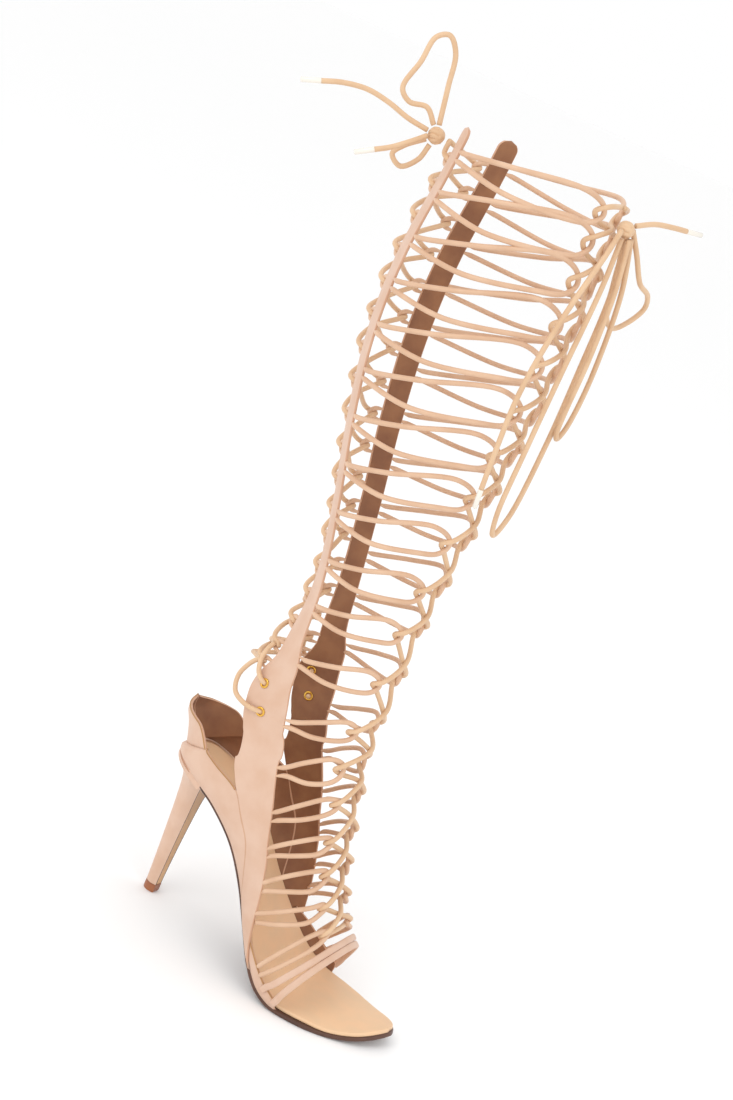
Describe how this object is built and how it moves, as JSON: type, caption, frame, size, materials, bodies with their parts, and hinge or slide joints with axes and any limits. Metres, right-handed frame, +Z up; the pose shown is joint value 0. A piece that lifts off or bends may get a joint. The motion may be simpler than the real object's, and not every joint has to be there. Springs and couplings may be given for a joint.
{
  "type": "gladiator sandal",
  "caption": "Knee-high lace-up gladiator sandal with a stiletto heel, side stays, cord loops laced up the front and a laced open back.",
  "frame": {"origin": "centre of the heel tip's underside, on the floor", "axes": "+X toward the toe, +Y toward the medial side, +Z up the leg"},
  "size_m": [0.2824, 0.1332, 0.6002],
  "materials": {
    "leather": "smooth nude leather with a low sheen",
    "cord": "round nude leather cord",
    "outsole": "dark brown sole with a burnished edge",
    "insole": "smooth pale tan leather lining",
    "heel_tip": "brown hard plastic top-lift",
    "eyelets": "polished yellow brass",
    "aglets": "clear glossy film"
  },
  "bodies": {
    "root": {"outsole": "outsole", "insole": "insole", "heel": "leather", "heel_tip": "heel_tip", "upper": "leather", "front_lacing": "cord", "back_lacing": "cord", "eyelet_lateral_lower": "eyelets", "eyelet_lateral_upper": "eyelets", "eyelet_medial_lower": "eyelets", "eyelet_medial_upper": "eyelets", "front_knot": "cord", "front_bow_long": "cord", "front_bow_second": "cord", "front_bow_side": "cord", "front_end_side": "cord", "front_aglet_side": "aglets", "front_end_long": "cord", "front_aglet_long": "aglets", "back_knot": "cord", "back_bow_upper": "cord", "back_end_upper": "cord", "back_aglet_upper": "aglets", "back_bow_lower": "cord", "back_end_lower": "cord", "back_aglet_lower": "aglets"}
  },
  "joints": []
}
